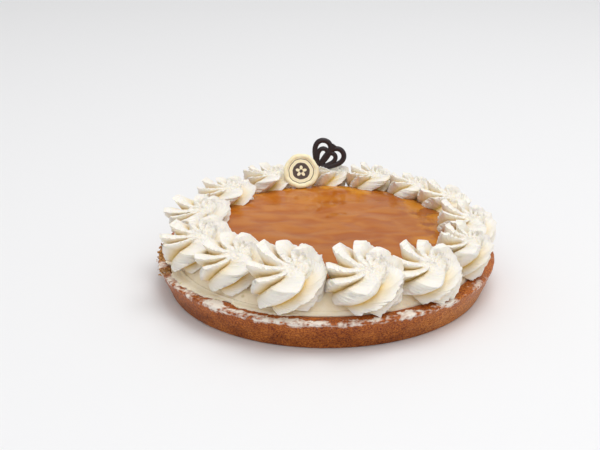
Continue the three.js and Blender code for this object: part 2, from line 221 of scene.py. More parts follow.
def places(bm):
    """The places of all the vertices, as an array of x, y, z rows."""
    return np.array([v.co for v in bm.verts])


def move_to(bm, x, y, z):
    """Puts the vertices where the arrays say."""
    for vert, place in zip(bm.verts, np.stack((x, y, z), axis=1)):
        vert.co = place


def paint(bm, name, values):
    """Stores a number on every vertex, which a finish can read by its name."""
    layer = bm.verts.layers.float.new(name)
    for vert, value in zip(bm.verts, values):
        vert[layer] = value


# %% Tools for outlines and pieces
def wire(bm, corners):
    """A wire through corners given as radius and height, and the wire's edges."""
    verts = [bm.verts.new((r, 0, z)) for r, z in corners]
    return [bm.edges.new(pair) for pair in zip(verts, verts[1:])]


def divide(bm, edges, spacing):
    """Cuts edges into lengths of about the spacing."""
    for edge in edges:
        cuts = int(edge.calc_length() / spacing)
        if cuts:
            bmesh.ops.subdivide_edges(bm, edges=[edge], cuts=cuts)


def round_off(bm, verts, offset, segments):
    """Rounds the corners of a wire."""
    rounding = {"affect": "VERTICES", "segments": segments, "profile": 0.5, "material": -1}
    bmesh.ops.bevel(bm, geom=verts, offset=offset, **rounding)


def clean(bm):
    """Closes seams and poles and turns the faces outwards."""
    bmesh.ops.remove_doubles(bm, verts=bm.verts, dist=MERGE)
    bmesh.ops.dissolve_degenerate(bm, edges=bm.edges, dist=MERGE)
    bmesh.ops.recalc_face_normals(bm, faces=bm.faces)


def turn_round(bm, steps):
    """Turns a wire about the upright axis into a closed skin."""
    whole = bm.verts[:] + bm.edges[:]
    axis = {"cent": (0, 0, 0), "axis": (0, 0, 1), "angle": math.tau}
    bmesh.ops.spin(bm, geom=whole, steps=steps, use_merge=True, **axis)
    clean(bm)


def serve(bm, name, finish, slot, *nodes):
    """Makes the piece an object that rides on the tart and stands for its nodes."""
    mesh = bpy.data.meshes.new(name)
    bm.to_mesh(mesh)
    bm.free()
    mesh.materials.append(finish)
    mesh.shade_smooth()
    piece = bpy.data.objects.new(name, mesh)
    scene.collection.objects.link(piece)
    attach(piece, "root")
    if nodes:
        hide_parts(*nodes)
    mesh.calc_loop_triangles()
    print(name + ":", len(mesh.loop_triangles), "triangles")


# %% [markdown]
# ## Crust
# Shortcrust baked in a plain tin: fine crumb all over, browned in soft patches, and lighter and more orange
# towards the rim. The right side is painted paler still, a painted highlight for the stronger light that
# falls there. Attributes on the vertices carry both. Where the rim broke, the crumb inside shows. The grain
# is drawn at about a millimetre, coarser than real flour crumb, which would vanish here.

# %% Finish of the crust: the bake
CRUMB_GRAIN = 0.0012
BROWNED_PATCH = 0.016

baked_shortcrust, tree, shader = new_finish("baked_shortcrust")
names = ("lit_right", "toward_rim", "broken", "smear")
painted = [add(tree, "Attribute", {}, attribute_name=name) for name in names]
lit_right, toward_rim, broken, smear = [node.outputs["Fac"] for node in painted]
where = add(tree, "TexCoord", {}).outputs["Object"]
patches = add(tree, "TexNoise", {"Vector": where, "Scale": 1 / BROWNED_PATCH, "Detail": 5.0})
crumb = add(tree, "TexNoise", {"Vector": where, "Scale": 1 / CRUMB_GRAIN, "Detail": 4.0})
browned = add(tree, "MapRange", {"Value": patches, "From Min": 0.38, "From Max": 0.62})
pores = add(tree, "MapRange", {"Value": crumb, "From Min": 0.36, "From Max": 0.64})
baked = add(tree, "MixRGB", {"Fac": browned, "Color1": linear("#86420F"), "Color2": linear("#A85E22")})
# Painted highlight: the right side is mixed towards a paler orange for the stronger light there.
sided = add(tree, "MixRGB", {"Fac": lit_right, "Color1": baked, "Color2": linear("#C47A34")})
# The wall is painted lighter and more orange towards the rim and on its top.
edged = add(tree, "MixRGB", {"Fac": toward_rim, "Color1": sided, "Color2": linear("#A9561A")})
grained = add(tree, "MixRGB", {"Fac": 0.75, "Color1": edged, "Color2": pores}, blend_type="SOFT_LIGHT")
inside = add(tree, "MixRGB", {"Fac": pores, "Color1": linear("#6E3A12"), "Color2": linear("#D9A35C")})
bared = add(tree, "MixRGB", {"Fac": broken, "Color1": grained, "Color2": inside})

# %% [markdown]
# Cream was smeared over the rim when the tart was filled. The attribute "smear" says how much lies at a
# point, and noise added to it gives the smear its ragged edge. The cream stands a little proud, so it goes
# into the bump too, over the grain. Egg wash leaves a thin gloss on the rim and the upper wall.

# %% Finish of the crust: cream and relief
SMEAR_EDGE = 0.0046

ragged = add(tree, "TexNoise", {"Vector": where, "Scale": 1 / SMEAR_EDGE, "Detail": 2.5})
both = add(tree, "Math", {0: smear, 1: ragged}, operation="ADD")
cover = add(tree, "MapRange", {"Value": both, "From Min": 0.88, "From Max": 1.14})
top_colour = add(tree, "MixRGB", {"Fac": cover, "Color1": bared, "Color2": linear("#F2E8DC")})
grain_bump = add(tree, "Bump", {"Height": crumb, "Strength": 0.45, "Distance": 0.0007})
bump = add(tree, "Bump", {"Height": cover, "Strength": 0.6, "Distance": 0.0007, "Normal": grain_bump})
gloss = add(tree, "Math", {0: toward_rim, 1: 0.25}, operation="MULTIPLY")
egg_wash = {"Roughness": 0.48, "Specular IOR Level": 0.25, "Coat Weight": gloss, "Coat Roughness": 0.2}
join(tree, shader, {"Base Color": top_colour, "Normal": bump, **egg_wash})
print("crust finish:", len(tree.nodes), "nodes")

# %% [markdown]
# The crust itself is a wire outline of wall, rim, inside and floor, rounded at its corners and turned
# round. It could also be a cylinder with its faces inset, but the outline shows the wall's flare and
# thickness directly.

# %% Outline of the crust
RIM_RADIUS = 0.140
BASE_RADIUS = 0.130
CRUST_HEIGHT = 0.025
WALL = 0.013
CRUST_FLOOR = 0.005
FLOOR_RADIUS = 0.120
WALL_BOW = 0.0003
EDGE_ROUND = 0.0014
CRUST_STEPS = 540
CRUST_SPACING = 0.0008

bm = bmesh.new()
corners = [
    (0, 0),
    (BASE_RADIUS, 0),
    ((BASE_RADIUS + RIM_RADIUS) / 2 + WALL_BOW, CRUST_HEIGHT / 2),
    (RIM_RADIUS, CRUST_HEIGHT),
    (RIM_RADIUS - WALL, CRUST_HEIGHT),
    (FLOOR_RADIUS, CRUST_FLOOR),
    (0, CRUST_FLOOR),
]
wire(bm, corners)
round_off(bm, [v for v in bm.verts if len(v.link_edges) == 2], EDGE_ROUND, 4)
shown = [e for e in bm.edges if min(v.co.x for v in e.verts) > FLOOR_RADIUS + 2 * EDGE_ROUND]
divide(bm, shown, CRUST_SPACING)
turn_round(bm, CRUST_STEPS)

# %% [markdown]
# Baking leaves the wall lumpy and the rim wavy, and a piece of the rim broke away on the left. Each of
# these is a rule that moves the vertices outwards or up.

# %% Baked shape of the crust
RIM_WAVE = 0.0005
RIM_PHASE = 1.7
RIM_BAND = 0.0015
CHIP_BEARING = 190
CHIP_SPREAD = 12
CHIP_DEPTH = 0.003
CHIP_BAND = 0.005
BROKEN_BAND = 0.006
BROKEN_SWELL = 0.0011
COARSE_LUMP = 0.011
COARSE_SWELL = 0.0004
FINE_LUMP = 0.0028
FINE_SWELL = 0.0002


def near_rim(z, band):
    """1 at the height of the rim and 0 a band below it."""
    return smooth(z, CRUST_HEIGHT - band, CRUST_HEIGHT)


x, y, z = places(bm).T
angle = np.arctan2(y, x)
radius = np.hypot(x, y)
chipped = near(angle, CHIP_BEARING, CHIP_SPREAD)
coarse = lumps(places(bm), COARSE_LUMP)
fine = lumps(places(bm), FINE_LUMP)
outside = smooth(radius, FLOOR_RADIUS, FLOOR_RADIUS + 0.01) * smooth(z, 0, 0.003)
radius = radius + (COARSE_SWELL * coarse + FINE_SWELL * fine) * outside
radius = radius + BROKEN_SWELL * chipped * fine * near_rim(z, BROKEN_BAND)
lift = (RIM_WAVE * wander(angle, RIM_PHASE) + COARSE_SWELL * coarse) * near_rim(z, RIM_BAND)
drop = CHIP_DEPTH * chipped * near_rim(z, CHIP_BAND)
move_to(bm, radius * np.cos(angle), radius * np.sin(angle), z + lift - drop)
print("crust: wall out to", round(float(radius.max()) * 1000, 1), "mm")

# %% [markdown]
# The numbers for the finish are painted on the vertices. Cream lies on the rim in stretches, heaviest at
# the front, and in places it ran over the edge and down the wall.

# %% Cream and toast on the crust
SMEAR_PATCH = 0.017
SMEAR_BIT = 0.006
# Bearing and spread in degrees, and strength, of each stretch of cream on the rim, from left to right.
SMEARS = [(214, 26, 0.36), (256, 48, 0.47), (304, 20, 0.42), (331, 10, 0.252)]
SMEAR_LEAST = 0.12
SMEAR_UNEVEN = 0.26
# Heights between which each kind of cream, and the lighter colour of the upper wall, comes in up the wall.
TOP = (CRUST_HEIGHT - 0.0022, CRUST_HEIGHT - 0.0010)
OVER_EDGE = (0.0212, 0.0226)
DRIPS = (0.0175, 0.0215)
SPILL = (0.0165, 0.0215)
UPPER_WALL = (0.010, 0.0225)
CRUMB_INSIDE = (CRUST_HEIGHT - 0.007, CRUST_HEIGHT - 0.004)


def rim_line(angle):
    """Points of the rim's outer circle at the angles."""
    return np.stack((np.cos(angle), np.sin(angle), 0 * angle), axis=1) * RIM_RADIUS


across = (RIM_RADIUS - radius) / WALL
outer = radius > FLOOR_RADIUS
uneven = lumps(rim_line(angle), SMEAR_PATCH)
bits = lumps(rim_line(angle) + places(bm), SMEAR_BIT)
on_top = smooth(z, *TOP)
left = near(angle, *SMEARS[0][:2])
stretches = [strength * near(angle, bearing, spread) for bearing, spread, strength in SMEARS]
amount = SMEAR_LEAST + np.max(stretches, axis=0) + SMEAR_UNEVEN * uneven
reach_in = 0.42 + 0.38 * left + 0.35 * uneven + 0.2 * bits
band = smooth(across + 0.12 * bits, -0.1, 0.05) * (1 - smooth(across - reach_in, 0, 0.2))
hanging = np.maximum(smooth(z + 0.0008 * bits, *OVER_EDGE), 0.62 * smooth(z, *DRIPS))
hanging = hanging * (1 - on_top) * (across < 0.2)
spilled = 0.55 * near(angle, CHIP_BEARING + 1, 5) * smooth(z, *SPILL) * outer
paint(bm, "smear", np.maximum(amount * (on_top * band + hanging), spilled))
# Lighter, more orange paint on the rim and up the wall towards it.
bare = np.maximum(on_top, 0.8 * smooth(z, *UPPER_WALL)) * outer
paint(bm, "toward_rim", bare * (0.75 + 0.35 * coarse).clip(0, 1))
# Painted highlight: paler paint on the right side, where more light falls.
paint(bm, "lit_right", 0.7 * near(angle, 335, 45))
crumbly = np.maximum(near(angle, CHIP_BEARING - 7, 7), near(angle, CHIP_BEARING + 8, 6))
paint(bm, "broken", crumbly * smooth(z, *CRUMB_INSIDE))
serve(bm, "crust_skin", baked_shortcrust, "crust", "crust")

# %% [markdown]
# Where the rim broke, golden crumbs lie on either side of the cream that ran out. Each is a small ball,
# flattened and turned by seeded chance. Modelled crumbs catch the light and break the rim's outline, which
# a painted texture can't do.

# %% Crumbs
# Bearing in degrees, spread in degrees and number of the crumbs in each heap.
CRUMB_HEAPS = [(182, 3.2, 60), (198, 2.2, 45)]
CRUMB_SMALL = 0.0004
CRUMB_LARGE = 0.0012
CRUMB_AXIS = (0.6, 0, 0.8)
CRUMB_BUMP = 0.0009
FALLEN = 0.003


def rim_top(angle):
    """Height of the crust's rim at an angle, with its wave and the broken place."""
    chip = CHIP_DEPTH * near(angle, CHIP_BEARING, CHIP_SPREAD)
    return CRUST_HEIGHT + RIM_WAVE * wander(angle, RIM_PHASE) - chip


draw = np.random.default_rng(7)
bm = bmesh.new()
for middle, spread, count in CRUMB_HEAPS:
    bearings = np.radians(draw.normal(middle, spread, count))
    shares = draw.uniform(-0.12, 0.8, count)
    sizes = draw.uniform(CRUMB_SMALL, CRUMB_LARGE, count)
    seats = rim_top(bearings) + 0.5 * sizes - FALLEN * (shares < 0)
    turns = draw.uniform(0, math.tau, count)
    for bearing, share, size, seat, turn in zip(bearings, shares, sizes, seats, turns):
        away = RIM_RADIUS - WALL * share
        spot = Matrix.Translation((away * math.cos(bearing), away * math.sin(bearing), seat))
        flattened = Matrix.Diagonal((size, 0.75 * size, 0.6 * size, 1))
        crumb_place = spot @ (Matrix.Rotation(turn, 4, CRUMB_AXIS) @ flattened)
        bmesh.ops.create_icosphere(bm, subdivisions=2, radius=1, matrix=crumb_place)
x, y, z = places(bm).T
bumps = lumps(places(bm), CRUMB_BUMP)
move_to(bm, x + 0.0003 * bumps, y - 0.0002 * bumps, z + 0.0003 * bumps)
paint(bm, "broken", np.ones(len(bm.verts)))
serve(bm, "crust_crumbs", baked_shortcrust, "crust")

# %% [markdown]
# ## Custard
# Thick baker's custard, spread with a palette knife: pale, matt, with soft strokes and a few burst
# bubbles. It is a little see-through, so light that enters it comes out further on, which subsurface
# scattering gives.

# %% Finish of the custard
CUSTARD_STROKE = 0.009
BUBBLE_SPACING = 0.011

spread_custard, tree, shader = new_finish("spread_custard")
where = add(tree, "TexCoord", {}).outputs["Object"]
strokes = add(tree, "TexNoise", {"Vector": where, "Scale": 1 / CUSTARD_STROKE, "Detail": 4.0})
bubbles = add(tree, "TexVoronoi", {"Vector": where, "Scale": 1 / BUBBLE_SPACING})
pit = add(tree, "MapRange", {"Value": bubbles, "From Min": 0.06, "From Max": 0.18})
pale = add(tree, "MixRGB", {"Fac": strokes, "Color1": linear("#F9E6C4"), "Color2": linear("#FFF3DE")})
# Painted shade: the pits of burst bubbles are painted darker and yellower.
colour = add(tree, "MixRGB", {"Fac": pit, "Color1": linear("#DCCB92"), "Color2": pale})
soft = add(tree, "Bump", {"Height": strokes, "Strength": 0.6, "Distance": 0.003})
bump = add(tree, "Bump", {"Height": pit, "Strength": 0.6, "Distance": 0.001, "Normal": soft})
depth = {"Subsurface Weight": 0.25, "Subsurface Radius": (1.0, 0.8, 0.45), "Subsurface Scale": 0.0015}
join(tree, shader, {"Base Color": colour, "Roughness": 0.55, "Normal": bump, **depth})

# %% [markdown]
# The custard is turned from a wire as the crust is. Its top is a straight line in the wire, and the rule
# that gives the height of the mound bends it: flat in the middle, falling ever faster towards the rim.

# %% Custard
MOUND_HEIGHT = 0.0445
MOUND_RADIUS = RIM_RADIUS - WALL
MOUND_EDGE = CRUST_HEIGHT - 0.0003
MOUND_POWER = 9
MOUND_TILT = 0.03
CUSTARD_STEPS = 360
CUSTARD_SPACING = 0.0018
# Size and height of the lumps in the custard's surface.
CUSTARD_LUMPS = [(0.016, 0.0010), (0.005, 0.0007)]


def mound_top(radius, angle):
    """Height of the custard's surface, which rises a little towards the back."""
    crown = MOUND_HEIGHT - MOUND_EDGE + MOUND_TILT * radius * np.sin(angle)
    return MOUND_EDGE + crown * (1 - (radius / MOUND_RADIUS) ** MOUND_POWER)


bm = bmesh.new()
corners = [(0, CRUST_FLOOR), (FLOOR_RADIUS, CRUST_FLOOR), (MOUND_RADIUS, MOUND_EDGE), (0, MOUND_HEIGHT)]
edges = wire(bm, corners)
divide(bm, edges[2:], CUSTARD_SPACING)
turn_round(bm, CUSTARD_STEPS)
x, y, z = places(bm).T
radius = np.hypot(x, y)
uneven = sum(height * lumps(places(bm), size) for size, height in CUSTARD_LUMPS)
surface = mound_top(radius, np.arctan2(y, x)) + uneven * smooth(radius, 0, 0.02)
move_to(bm, x, y, np.where(z > MOUND_EDGE - MERGE, surface, z))
serve(bm, "custard_mound", spread_custard, "custard", "custard")

# %% [markdown]
# On the left the custard was spread out over the rim in a thin film, most of all where the rim broke. The
# film is a grid laid round the rim whose outer edge wanders, and it gets a thickness so that it is closed.

# %% Custard on the rim
FILM_FROM = math.radians(178)
FILM_TO = math.radians(292)
FILM_INNER = 0.1245
FILM_HEIGHT = 0.0009
FILM_THICKNESS = 0.0005
FILM_LEAST = 0.0002
# Bearing and spread in degrees, and reach, of each place where the film runs out.
FILM_TONGUES = [(214, 22, 0.0068), (248, 16, 0.0040), (191, 5, 0.0062)]
# Size and depth of the film's ragged edge.
FILM_RAGS = [(0.008, 0.0016), (0.003, 0.0010)]
FILM_LUMP = 0.004
FILM_BUMP = 0.0003


def film_reach(angle):
    """How far outside the mound's edge the custard film reaches at an angle."""
    ragged = sum(depth * lumps(rim_line(angle), size) for size, depth in FILM_RAGS)
    spread = sum(reach * near(angle, bearing, width) for bearing, width, reach in FILM_TONGUES)
    return np.maximum(FILM_LEAST, spread + ragged)


bm = bmesh.new()
bmesh.ops.create_grid(bm, x_segments=420, y_segments=10, size=0.5)
u, v = places(bm).T[:2] + 0.5
angle = FILM_FROM + (FILM_TO - FILM_FROM) * u
radius = FILM_INNER + (MOUND_RADIUS + film_reach(angle) - FILM_INNER) * v
lying = np.maximum(mound_top(np.minimum(radius, MOUND_RADIUS), angle), rim_top(angle))
spot = np.stack((radius * np.cos(angle), radius * np.sin(angle), lying), axis=1)
body = FILM_HEIGHT * np.sqrt(1 - v ** 4) * smooth(v, 0, 0.3)
body = body + FILM_BUMP * lumps(spot, FILM_LUMP) * v * (1 - v)
move_to(bm, spot[:, 0], spot[:, 1], lying + body)
bmesh.ops.recalc_face_normals(bm, faces=bm.faces)
bmesh.ops.solidify(bm, geom=bm.faces[:], thickness=FILM_THICKNESS)
clean(bm)
serve(bm, "custard_film", spread_custard, "custard")

# %% [markdown]
# ## Apricot layer
# Sieved apricot under a clear glaze, poured while warm: amber, wet, and never quite level. Most of what
# the eye sees is the white room mirrored in it, so the gloss is sharp and the surface keeps its long low
# waves. Towards the edge the glaze is thin and clear, and its colour there comes in patches of dark and
# bright amber that reach further in at the right and back. These patches are partly the glaze's own tint
# and partly painted reflection. Lighter bands of colour along the waves are painted reflection too. The
# front and right are painted darker, a painted shade that tones down the mirrored white there.

# %% Finish of the apricot layer
STREAK_LENGTH = 0.024
STREAK_WIDTH = 0.013
PULP_CLOUD = 0.022

apricot_glaze, tree, shader = new_finish("poured_apricot_glaze")
painted = [add(tree, "Attribute", {}, attribute_name=name) for name in ("edging", "front_right_shade")]
edge_and_glints, front_right_shade = [node.outputs["Fac"] for node in painted]
where = add(tree, "TexCoord", {}).outputs["Object"]
drawn_out = {"Vector": where, "Scale": (1 / STREAK_LENGTH, 1 / STREAK_WIDTH, 1 / STREAK_WIDTH)}
stretch = add(tree, "Mapping", drawn_out)
streaks = add(tree, "TexNoise", {"Vector": stretch, "Scale": 1.0, "Detail": 1.5, "Distortion": 0.4})
clouds = add(tree, "TexNoise", {"Vector": where, "Scale": 1 / PULP_CLOUD, "Detail": 3.0})
# Painted reflection: lighter bands of colour follow the long waves, as the mirrored room would.
sheen_bands = add(tree, "MapRange", {"Value": streaks, "From Min": 0.38, "From Max": 0.62})
sheen_streaked = add(tree, "MixRGB", {"Fac": sheen_bands, "Color1": linear("#B5620E"), "Color2": linear("#C57826")})
# Partly painted reflection: the thin edge is clear amber, and its dark and bright patches stand for
# mirrored rosettes and room.
facets = add(tree, "MapRange", {"Value": clouds, "From Min": 0.45, "From Max": 0.55})
clear_and_glinting = add(tree, "MixRGB", {"Fac": facets, "Color1": linear("#AC5E08"), "Color2": linear("#D68C1E")})
layered = add(tree, "MixRGB", {"Fac": edge_and_glints, "Color1": sheen_streaked, "Color2": clear_and_glinting})
# Painted shade: the front and right are multiplied darker, to tone down the mirrored white there.
shade_mix = {"Fac": front_right_shade, "Color1": layered, "Color2": linear("#E8DFC8")}
colour = add(tree, "MixRGB", shade_mix, blend_type="MULTIPLY")
waves = add(tree, "Bump", {"Height": streaks, "Strength": 0.55, "Distance": 0.003})
bump = add(tree, "Bump", {"Height": facets, "Strength": edge_and_glints, "Distance": 0.0012, "Normal": waves})
wet = {"Roughness": 0.2, "Specular IOR Level": 0.1, "Coat Weight": 0.42, "Coat Roughness": 0.05}
join(tree, shader, {"Base Color": colour, "Normal": bump, **wet})

# %% [markdown]
# The layer is turned as a flat disc of radius 1, so that a vertex's distance from the middle is its share
# of the way to the edge. A rule then gives each bearing its own edge, with the tongue that ran out at the
# front, and each point its height on the mound.

# %% Apricot layer
APRICOT_RADIUS = 0.108
APRICOT_WANDER = 0.003
APRICOT_PHASE = 0.6
APRICOT_THICKNESS = 0.0026
APRICOT_SUNK = 0.0009
TONGUE_REACH = 0.012
TONGUE_BEARING = 252
TONGUE_SPREAD = 11
DIMPLE_DEPTH = 0.0007
DIMPLE_ACROSS = 0.009
DIMPLE_ALONG = 0.017
APRICOT_STEPS = 300
APRICOT_RINGS = 80
EDGING_PATCH = 0.014
EDGING_BEARING = math.radians(25)


def apricot_edge(angle):
    """Radius of the apricot layer's edge at an angle."""
    tongue = TONGUE_REACH * near(angle, TONGUE_BEARING, TONGUE_SPREAD)
    return APRICOT_RADIUS + APRICOT_WANDER * wander(angle, APRICOT_PHASE) + tongue


def apricot_top(radius, angle):
    """Height of the apricot layer's surface, which thins to nothing at its edge."""
    share = np.minimum(1, radius / apricot_edge(angle))
    body = APRICOT_THICKNESS * np.sqrt(1 - share ** 10)
    waves = np.sin(radius / DIMPLE_ACROSS + 3 * angle) * np.cos(radius / DIMPLE_ALONG + 2 * angle)
    dimples = DIMPLE_DEPTH * waves * (1 - share ** 4) * smooth(radius, 0, 0.03)
    return mound_top(radius, angle) + body + dimples


bm = bmesh.new()
edges = wire(bm, [(0, 1), (1, 1), (0.97, 0), (0, 0)])
divide(bm, edges[:1], 1 / APRICOT_RINGS)
turn_round(bm, APRICOT_STEPS)
x, y, level = places(bm).T
angle = np.arctan2(y, x)
radius = np.hypot(x, y) * apricot_edge(angle)
lower = mound_top(radius, angle) - APRICOT_SUNK
height = np.where(level > 0.5, apricot_top(radius, angle), lower)
move_to(bm, radius * np.cos(angle), radius * np.sin(angle), height)
share = radius / apricot_edge(angle)
# The edge reaches further in at the right and back, where the painted reflection patches lie.
ragged = 0.12 * lumps(places(bm), EDGING_PATCH)
right_and_back = 0.5 + 0.5 * np.cos(angle - EDGING_BEARING)
paint(bm, "edging", smooth(share + ragged + 0.22 * right_and_back, 0.84, 1.02))
# Painted shade at the front and right of the layer.
at_front = 1 - smooth(np.sin(angle) * radius, -0.075, 0.07)
at_right = smooth(np.cos(angle) * radius, 0.0, 0.09)
paint(bm, "front_right_shade", np.maximum(at_front, at_right))
serve(bm, "apricot_layer", apricot_glaze, "apricot_glaze", "apricot")

# %% [markdown]
# ## Cream
# Whipped cream pushed through a large star nozzle. Fat and air scatter light inside it, so it glows where
# it is thin. Down in the grooves it is painted butter yellow, a painted shade for the light that scatters
# there. One attribute says how far out of a groove a point lies, and so how much painted shade it takes,
# and "torn" marks the rough middle. Drag lines and curds are drawn coarser than real ones, which would
# vanish at this distance.

# %% Finish of the cream
STRIATION_COUNT = 120
STRIATION_BREAKS = 9
CREAM_GRAIN = 0.0016
# How light scatters in milk fat, here and in white chocolate.
MILK_FAT = {"Subsurface Weight": 0.2, "Subsurface Radius": (1.0, 0.8, 0.4), "Subsurface Scale": 0.002}

whipped_cream, tree, shader = new_finish("piped_whipped_cream")
painted = [add(tree, "Attribute", {}, attribute_name=name) for name in ("unshaded", "torn")]
unshaded, torn = [node.outputs["Fac"] for node in painted]
where = add(tree, "TexCoord", {})
# Painted shade: butter yellow in the grooves, in the hollows of the torn middle and where rosettes crowd
# each other.
colour = add(tree, "MixRGB", {"Fac": unshaded, "Color1": linear("#F3CF6C"), "Color2": linear("#FBF5EB")})
lines = {"Vector": where.outputs["UV"], "Scale": (STRIATION_BREAKS, STRIATION_COUNT, 1)}
stretch = add(tree, "Mapping", lines)
drag = add(tree, "TexNoise", {"Vector": stretch, "Scale": 1.0, "Detail": 3.0})
fine = add(tree, "TexNoise", {"Vector": where.outputs["Object"], "Scale": 1 / CREAM_GRAIN, "Detail": 3.0})
streaks = add(tree, "Bump", {"Height": drag, "Strength": 0.8, "Distance": 0.0010})
bump = add(tree, "Bump", {"Height": fine, "Strength": torn, "Distance": 0.0005, "Normal": streaks})
join(tree, shader, {"Base Color": colour, "Roughness": 0.5, "Normal": bump, **MILK_FAT})

# %% [markdown]
# One swirl is a grid rolled into a body: one way runs round the rosette, the other from the foot up over
# the shoulder to the middle of the top. Stations along that way say how far out and how high the fins and
# the grooves between them lie, as shares of the rosette's reach and height, and how far the nozzle had
# turned. A smooth line runs through the stations, with one sharp corner at the brow, the top of a fin's
# outer end.

# %% Stations of a swirl
# Way out and up of a fin, way out and up of a groove, and the nozzle's turn in degrees.
STATIONS = np.array([
    (0.93, -0.03, 0.62, 0.02, 0),
    (0.95, 0.24, 0.64, 0.14, 29),
    (0.99, 0.52, 0.63, 0.30, 58),
    (1.04, 0.80, 0.59, 0.45, 87),
    (1.10, 1.00, 0.53, 0.57, 108),
    (0.84, 1.00, 0.47, 0.68, 132),
    (0.61, 0.97, 0.41, 0.77, 149),
    (0.43, 0.91, 0.35, 0.84, 160),
    (0.20, 0.87, 0.20, 0.86, 164),
    (0.00, 0.87, 0.00, 0.87, 165),
])
LAST = len(STATIONS) - 1
BROW = 4


def along(stations, share):
    """A smooth line through stations, read at shares of its length."""
    last = len(stations) - 1
    place = np.clip(share, 0, 1) * last
    first = np.minimum(place.astype(int), last - 1)
    t = (place - first)[:, None]
    before = stations[np.maximum(first - 1, 0)]
    start = stations[first]
    end = stations[first + 1]
    after = stations[np.minimum(first + 2, last)]
    bend = (2 * before - 5 * start + 4 * end - after) * t ** 2
    twist = (3 * start - before - 3 * end + after) * t ** 3
    return 0.5 * (2 * start + (end - before) * t + bend + twist)


def cornered(above):
    """The stations read at shares of the way up, with a corner at the brow."""
    place = above * LAST
    lower = along(STATIONS[:BROW + 1], place / BROW)
    upper = along(STATIONS[BROW:], (place - BROW) / (LAST - BROW))
    return np.where((place < BROW)[:, None], lower, upper)


# %% [markdown]
# Across, a fin is broad on one side, its tread, and steep on the other, its riser. Fins on the left are
# thick blades with square-cut ends and shallow grooves. On the right they are hollow and step in below the
# shoulder, and at the back their ends are as broad as petals.

# %% Fins of a swirl
FIN_COLUMNS = 20
RIDGE_COLUMN = 15
TIP_COLUMNS = 2
PETAL_COLUMNS = 7
PETAL_BEARING = math.radians(55)
PETAL_SPAN = (-0.2, 0.6)
PETAL_ROUNDING = 0.6
PETAL_IN = 0.06
HOLLOW_BEARING = math.radians(330)
HOLLOW_TREAD = 0.6
TREAD_BULGE = 1.35
GROOVE_FILL = 0.16
GROOVE_IN = 0.05
GROOVE_DOWN = 0.08
STEP_IN = 0.17
STEP_DOWN = 0.10
# Shares of the way up between which something comes in or fades out.
PETAL_RISE = (0.2, 0.44)
FILL_FADE = (0.2, 0.6)
DEEP_RISE = (0.05, 0.25)
DEEP_FADE = (0.6, 0.9)
STEP_RISE = (0.2, 0.45)
STEP_FADE = (0.55, 0.75)


def across_fin(step, tip):
    """How hollow and petal-like a fin is, how far out on it a point lies, and its crest lines."""
    hollow = 0.5 + 0.5 * np.cos(tip - HOLLOW_BEARING)
    petal = smooth(np.cos(tip - PETAL_BEARING), *PETAL_SPAN)
    corner = RIDGE_COLUMN - np.rint(TIP_COLUMNS * (1 - hollow) + PETAL_COLUMNS * petal)
    tread = 1 - (1 - np.minimum(1, step / corner)) ** (TREAD_BULGE - HOLLOW_TREAD * hollow)
    riser = (FIN_COLUMNS - step) / (FIN_COLUMNS - RIDGE_COLUMN)
    crest = np.where(step == RIDGE_COLUMN, 2, step == corner)
    return hollow, petal, np.minimum(tread, riser), crest


def up_fin(above, hollow, petal):
    """Way out and up of a point's fin and groove, and the nozzle's turn there."""
    cut = cornered(above)
    eased = cut + (along(STATIONS, above) - cut) * PETAL_ROUNDING * petal[:, None]
    fin_out, fin_up, groove_out, groove_up, turned = eased.T
    deeper = hollow * smooth(above, *DEEP_RISE) * (1 - smooth(above, *DEEP_FADE))
    filled = (1 - hollow) * (1 - smooth(above, *FILL_FADE))
    stepped = hollow * smooth(above, *STEP_RISE) * (1 - smooth(above, *STEP_FADE))
    fin_out = fin_out - STEP_IN * stepped - PETAL_IN * petal * smooth(above, *PETAL_RISE)
    fin_up = fin_up - STEP_DOWN * stepped
    groove_out = groove_out + GROOVE_FILL * filled - GROOVE_IN * deeper
    groove_up = groove_up - GROOVE_DOWN * deeper
    return fin_out, fin_up, groove_out, groove_up, turned


# %% [markdown]
# The nozzle curled away to the right: fins that start at the front wind fully round, and each one after
# that winds less, until those on the left hardly wind at all. No two fins are alike, so their lengths,
# heights and places vary by seeded chance, and their edges are torn.

# %% Shape of one swirl
ROWS = 144
HEM_ROW = 36
FOOT_DEPTH = 0.45
FIN_LENGTHS = 0.08
FIN_HEIGHTS = 0.07
FIN_LEAN = math.radians(3)
FIN_SWING = math.radians(6)
FIN_CROWDING = 0.24
OPEN_BEARING = math.radians(45)
LOW_BEARING = math.radians(160)
LOW_SHARE = 0.08
CURL_START = math.radians(200)
CURL_ONSET = (0.02, 0.17)
LEAST_CURL = 0.26
BLUNTNESS = 0.7
RAG_DEPTH = 0.030
DRAG_DEPTH = 0.008
DROOP = 0.002
WHORL_SHIFT = (0.0045, 0.0015)
TALL_FADE = (0.6, 0.95)
RAG_UPWARD = (0.25, 0.55)
RAG_FADE = (0.6, 0.85)
WHORL_RISE = (0.15, 1.0)
DROOP_FADE = (0, 0.4)


def torn_edge(fin, row, edge, fins, draw):
    """Nicks along the fins' edges and drag marks on their faces, as shares of the reach."""
    nicks = draw.uniform(-1, 1, (fins, ROWS + 1))[fin, row]
    tears = draw.uniform(-1, 1, (fins, ROWS + 1))[fin, row // 3]
    drags = draw.uniform(-1, 1, (fins, ROWS + 1))[fin, row // 2]
    rags = RAG_DEPTH * (tears + 0.5 * nicks) * smooth(edge, 0.75, 1)
    return rags + DRAG_DEPTH * drags * smooth(edge, 0.1, 0.5)


def curled(start, turned):
    """Angle to which the nozzle's turn brings a point that starts at an angle."""
    past = np.mod(start - CURL_START, math.tau) / math.tau
    curl = LEAST_CURL + (1 - LEAST_CURL) * smooth(past, *CURL_ONSET) * (1 - past)
    return start + np.radians(turned) * curl


